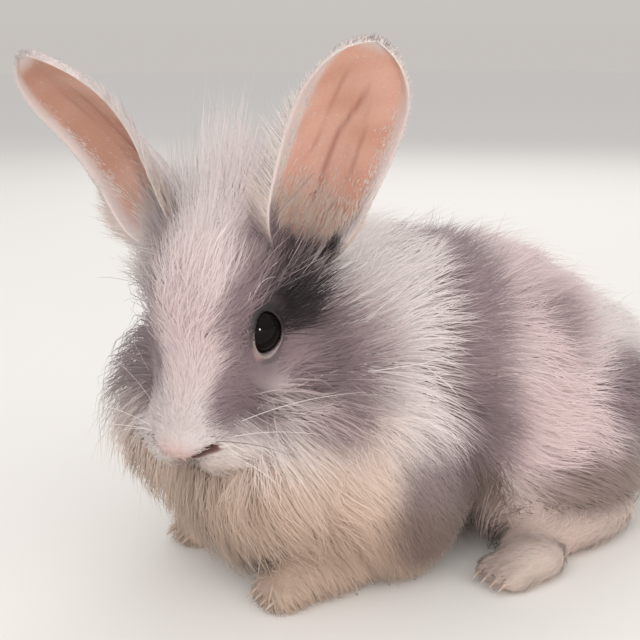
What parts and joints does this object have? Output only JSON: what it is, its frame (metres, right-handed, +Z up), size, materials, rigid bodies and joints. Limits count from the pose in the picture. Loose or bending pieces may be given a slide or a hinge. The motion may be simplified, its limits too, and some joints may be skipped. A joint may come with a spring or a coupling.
{
  "type": "lionhead rabbit",
  "caption": "Young lionhead rabbit at life size, crouched on the floor with its head turned, long-coated mane and ruff, upright cupped ears.",
  "frame": {"origin": "middle of the part's box, on the floor under the rabbit", "axes": "+Z up, the rabbit's body faces -Y, its left side is +X"},
  "size_m": [0.112, 0.2, 0.1378],
  "materials": {
    "coat": "soft medium-long rabbit coat, white with lilac-grey patches",
    "ear": "thin pink skin inside, short white fur outside",
    "eye": "wet, glossy, nearly black"
  },
  "bodies": {
    "root": {"head": "coat", "ear_left": "ear", "ear_right": "ear", "eye_left": "eye", "eye_right": "eye", "neck": "coat", "torso": "coat", "foreleg_left": "coat", "foreleg_right": "coat", "haunch_left": "coat", "haunch_right": "coat", "hindfoot_left": "coat", "hindfoot_right": "coat", "tail": "coat"}
  },
  "joints": []
}
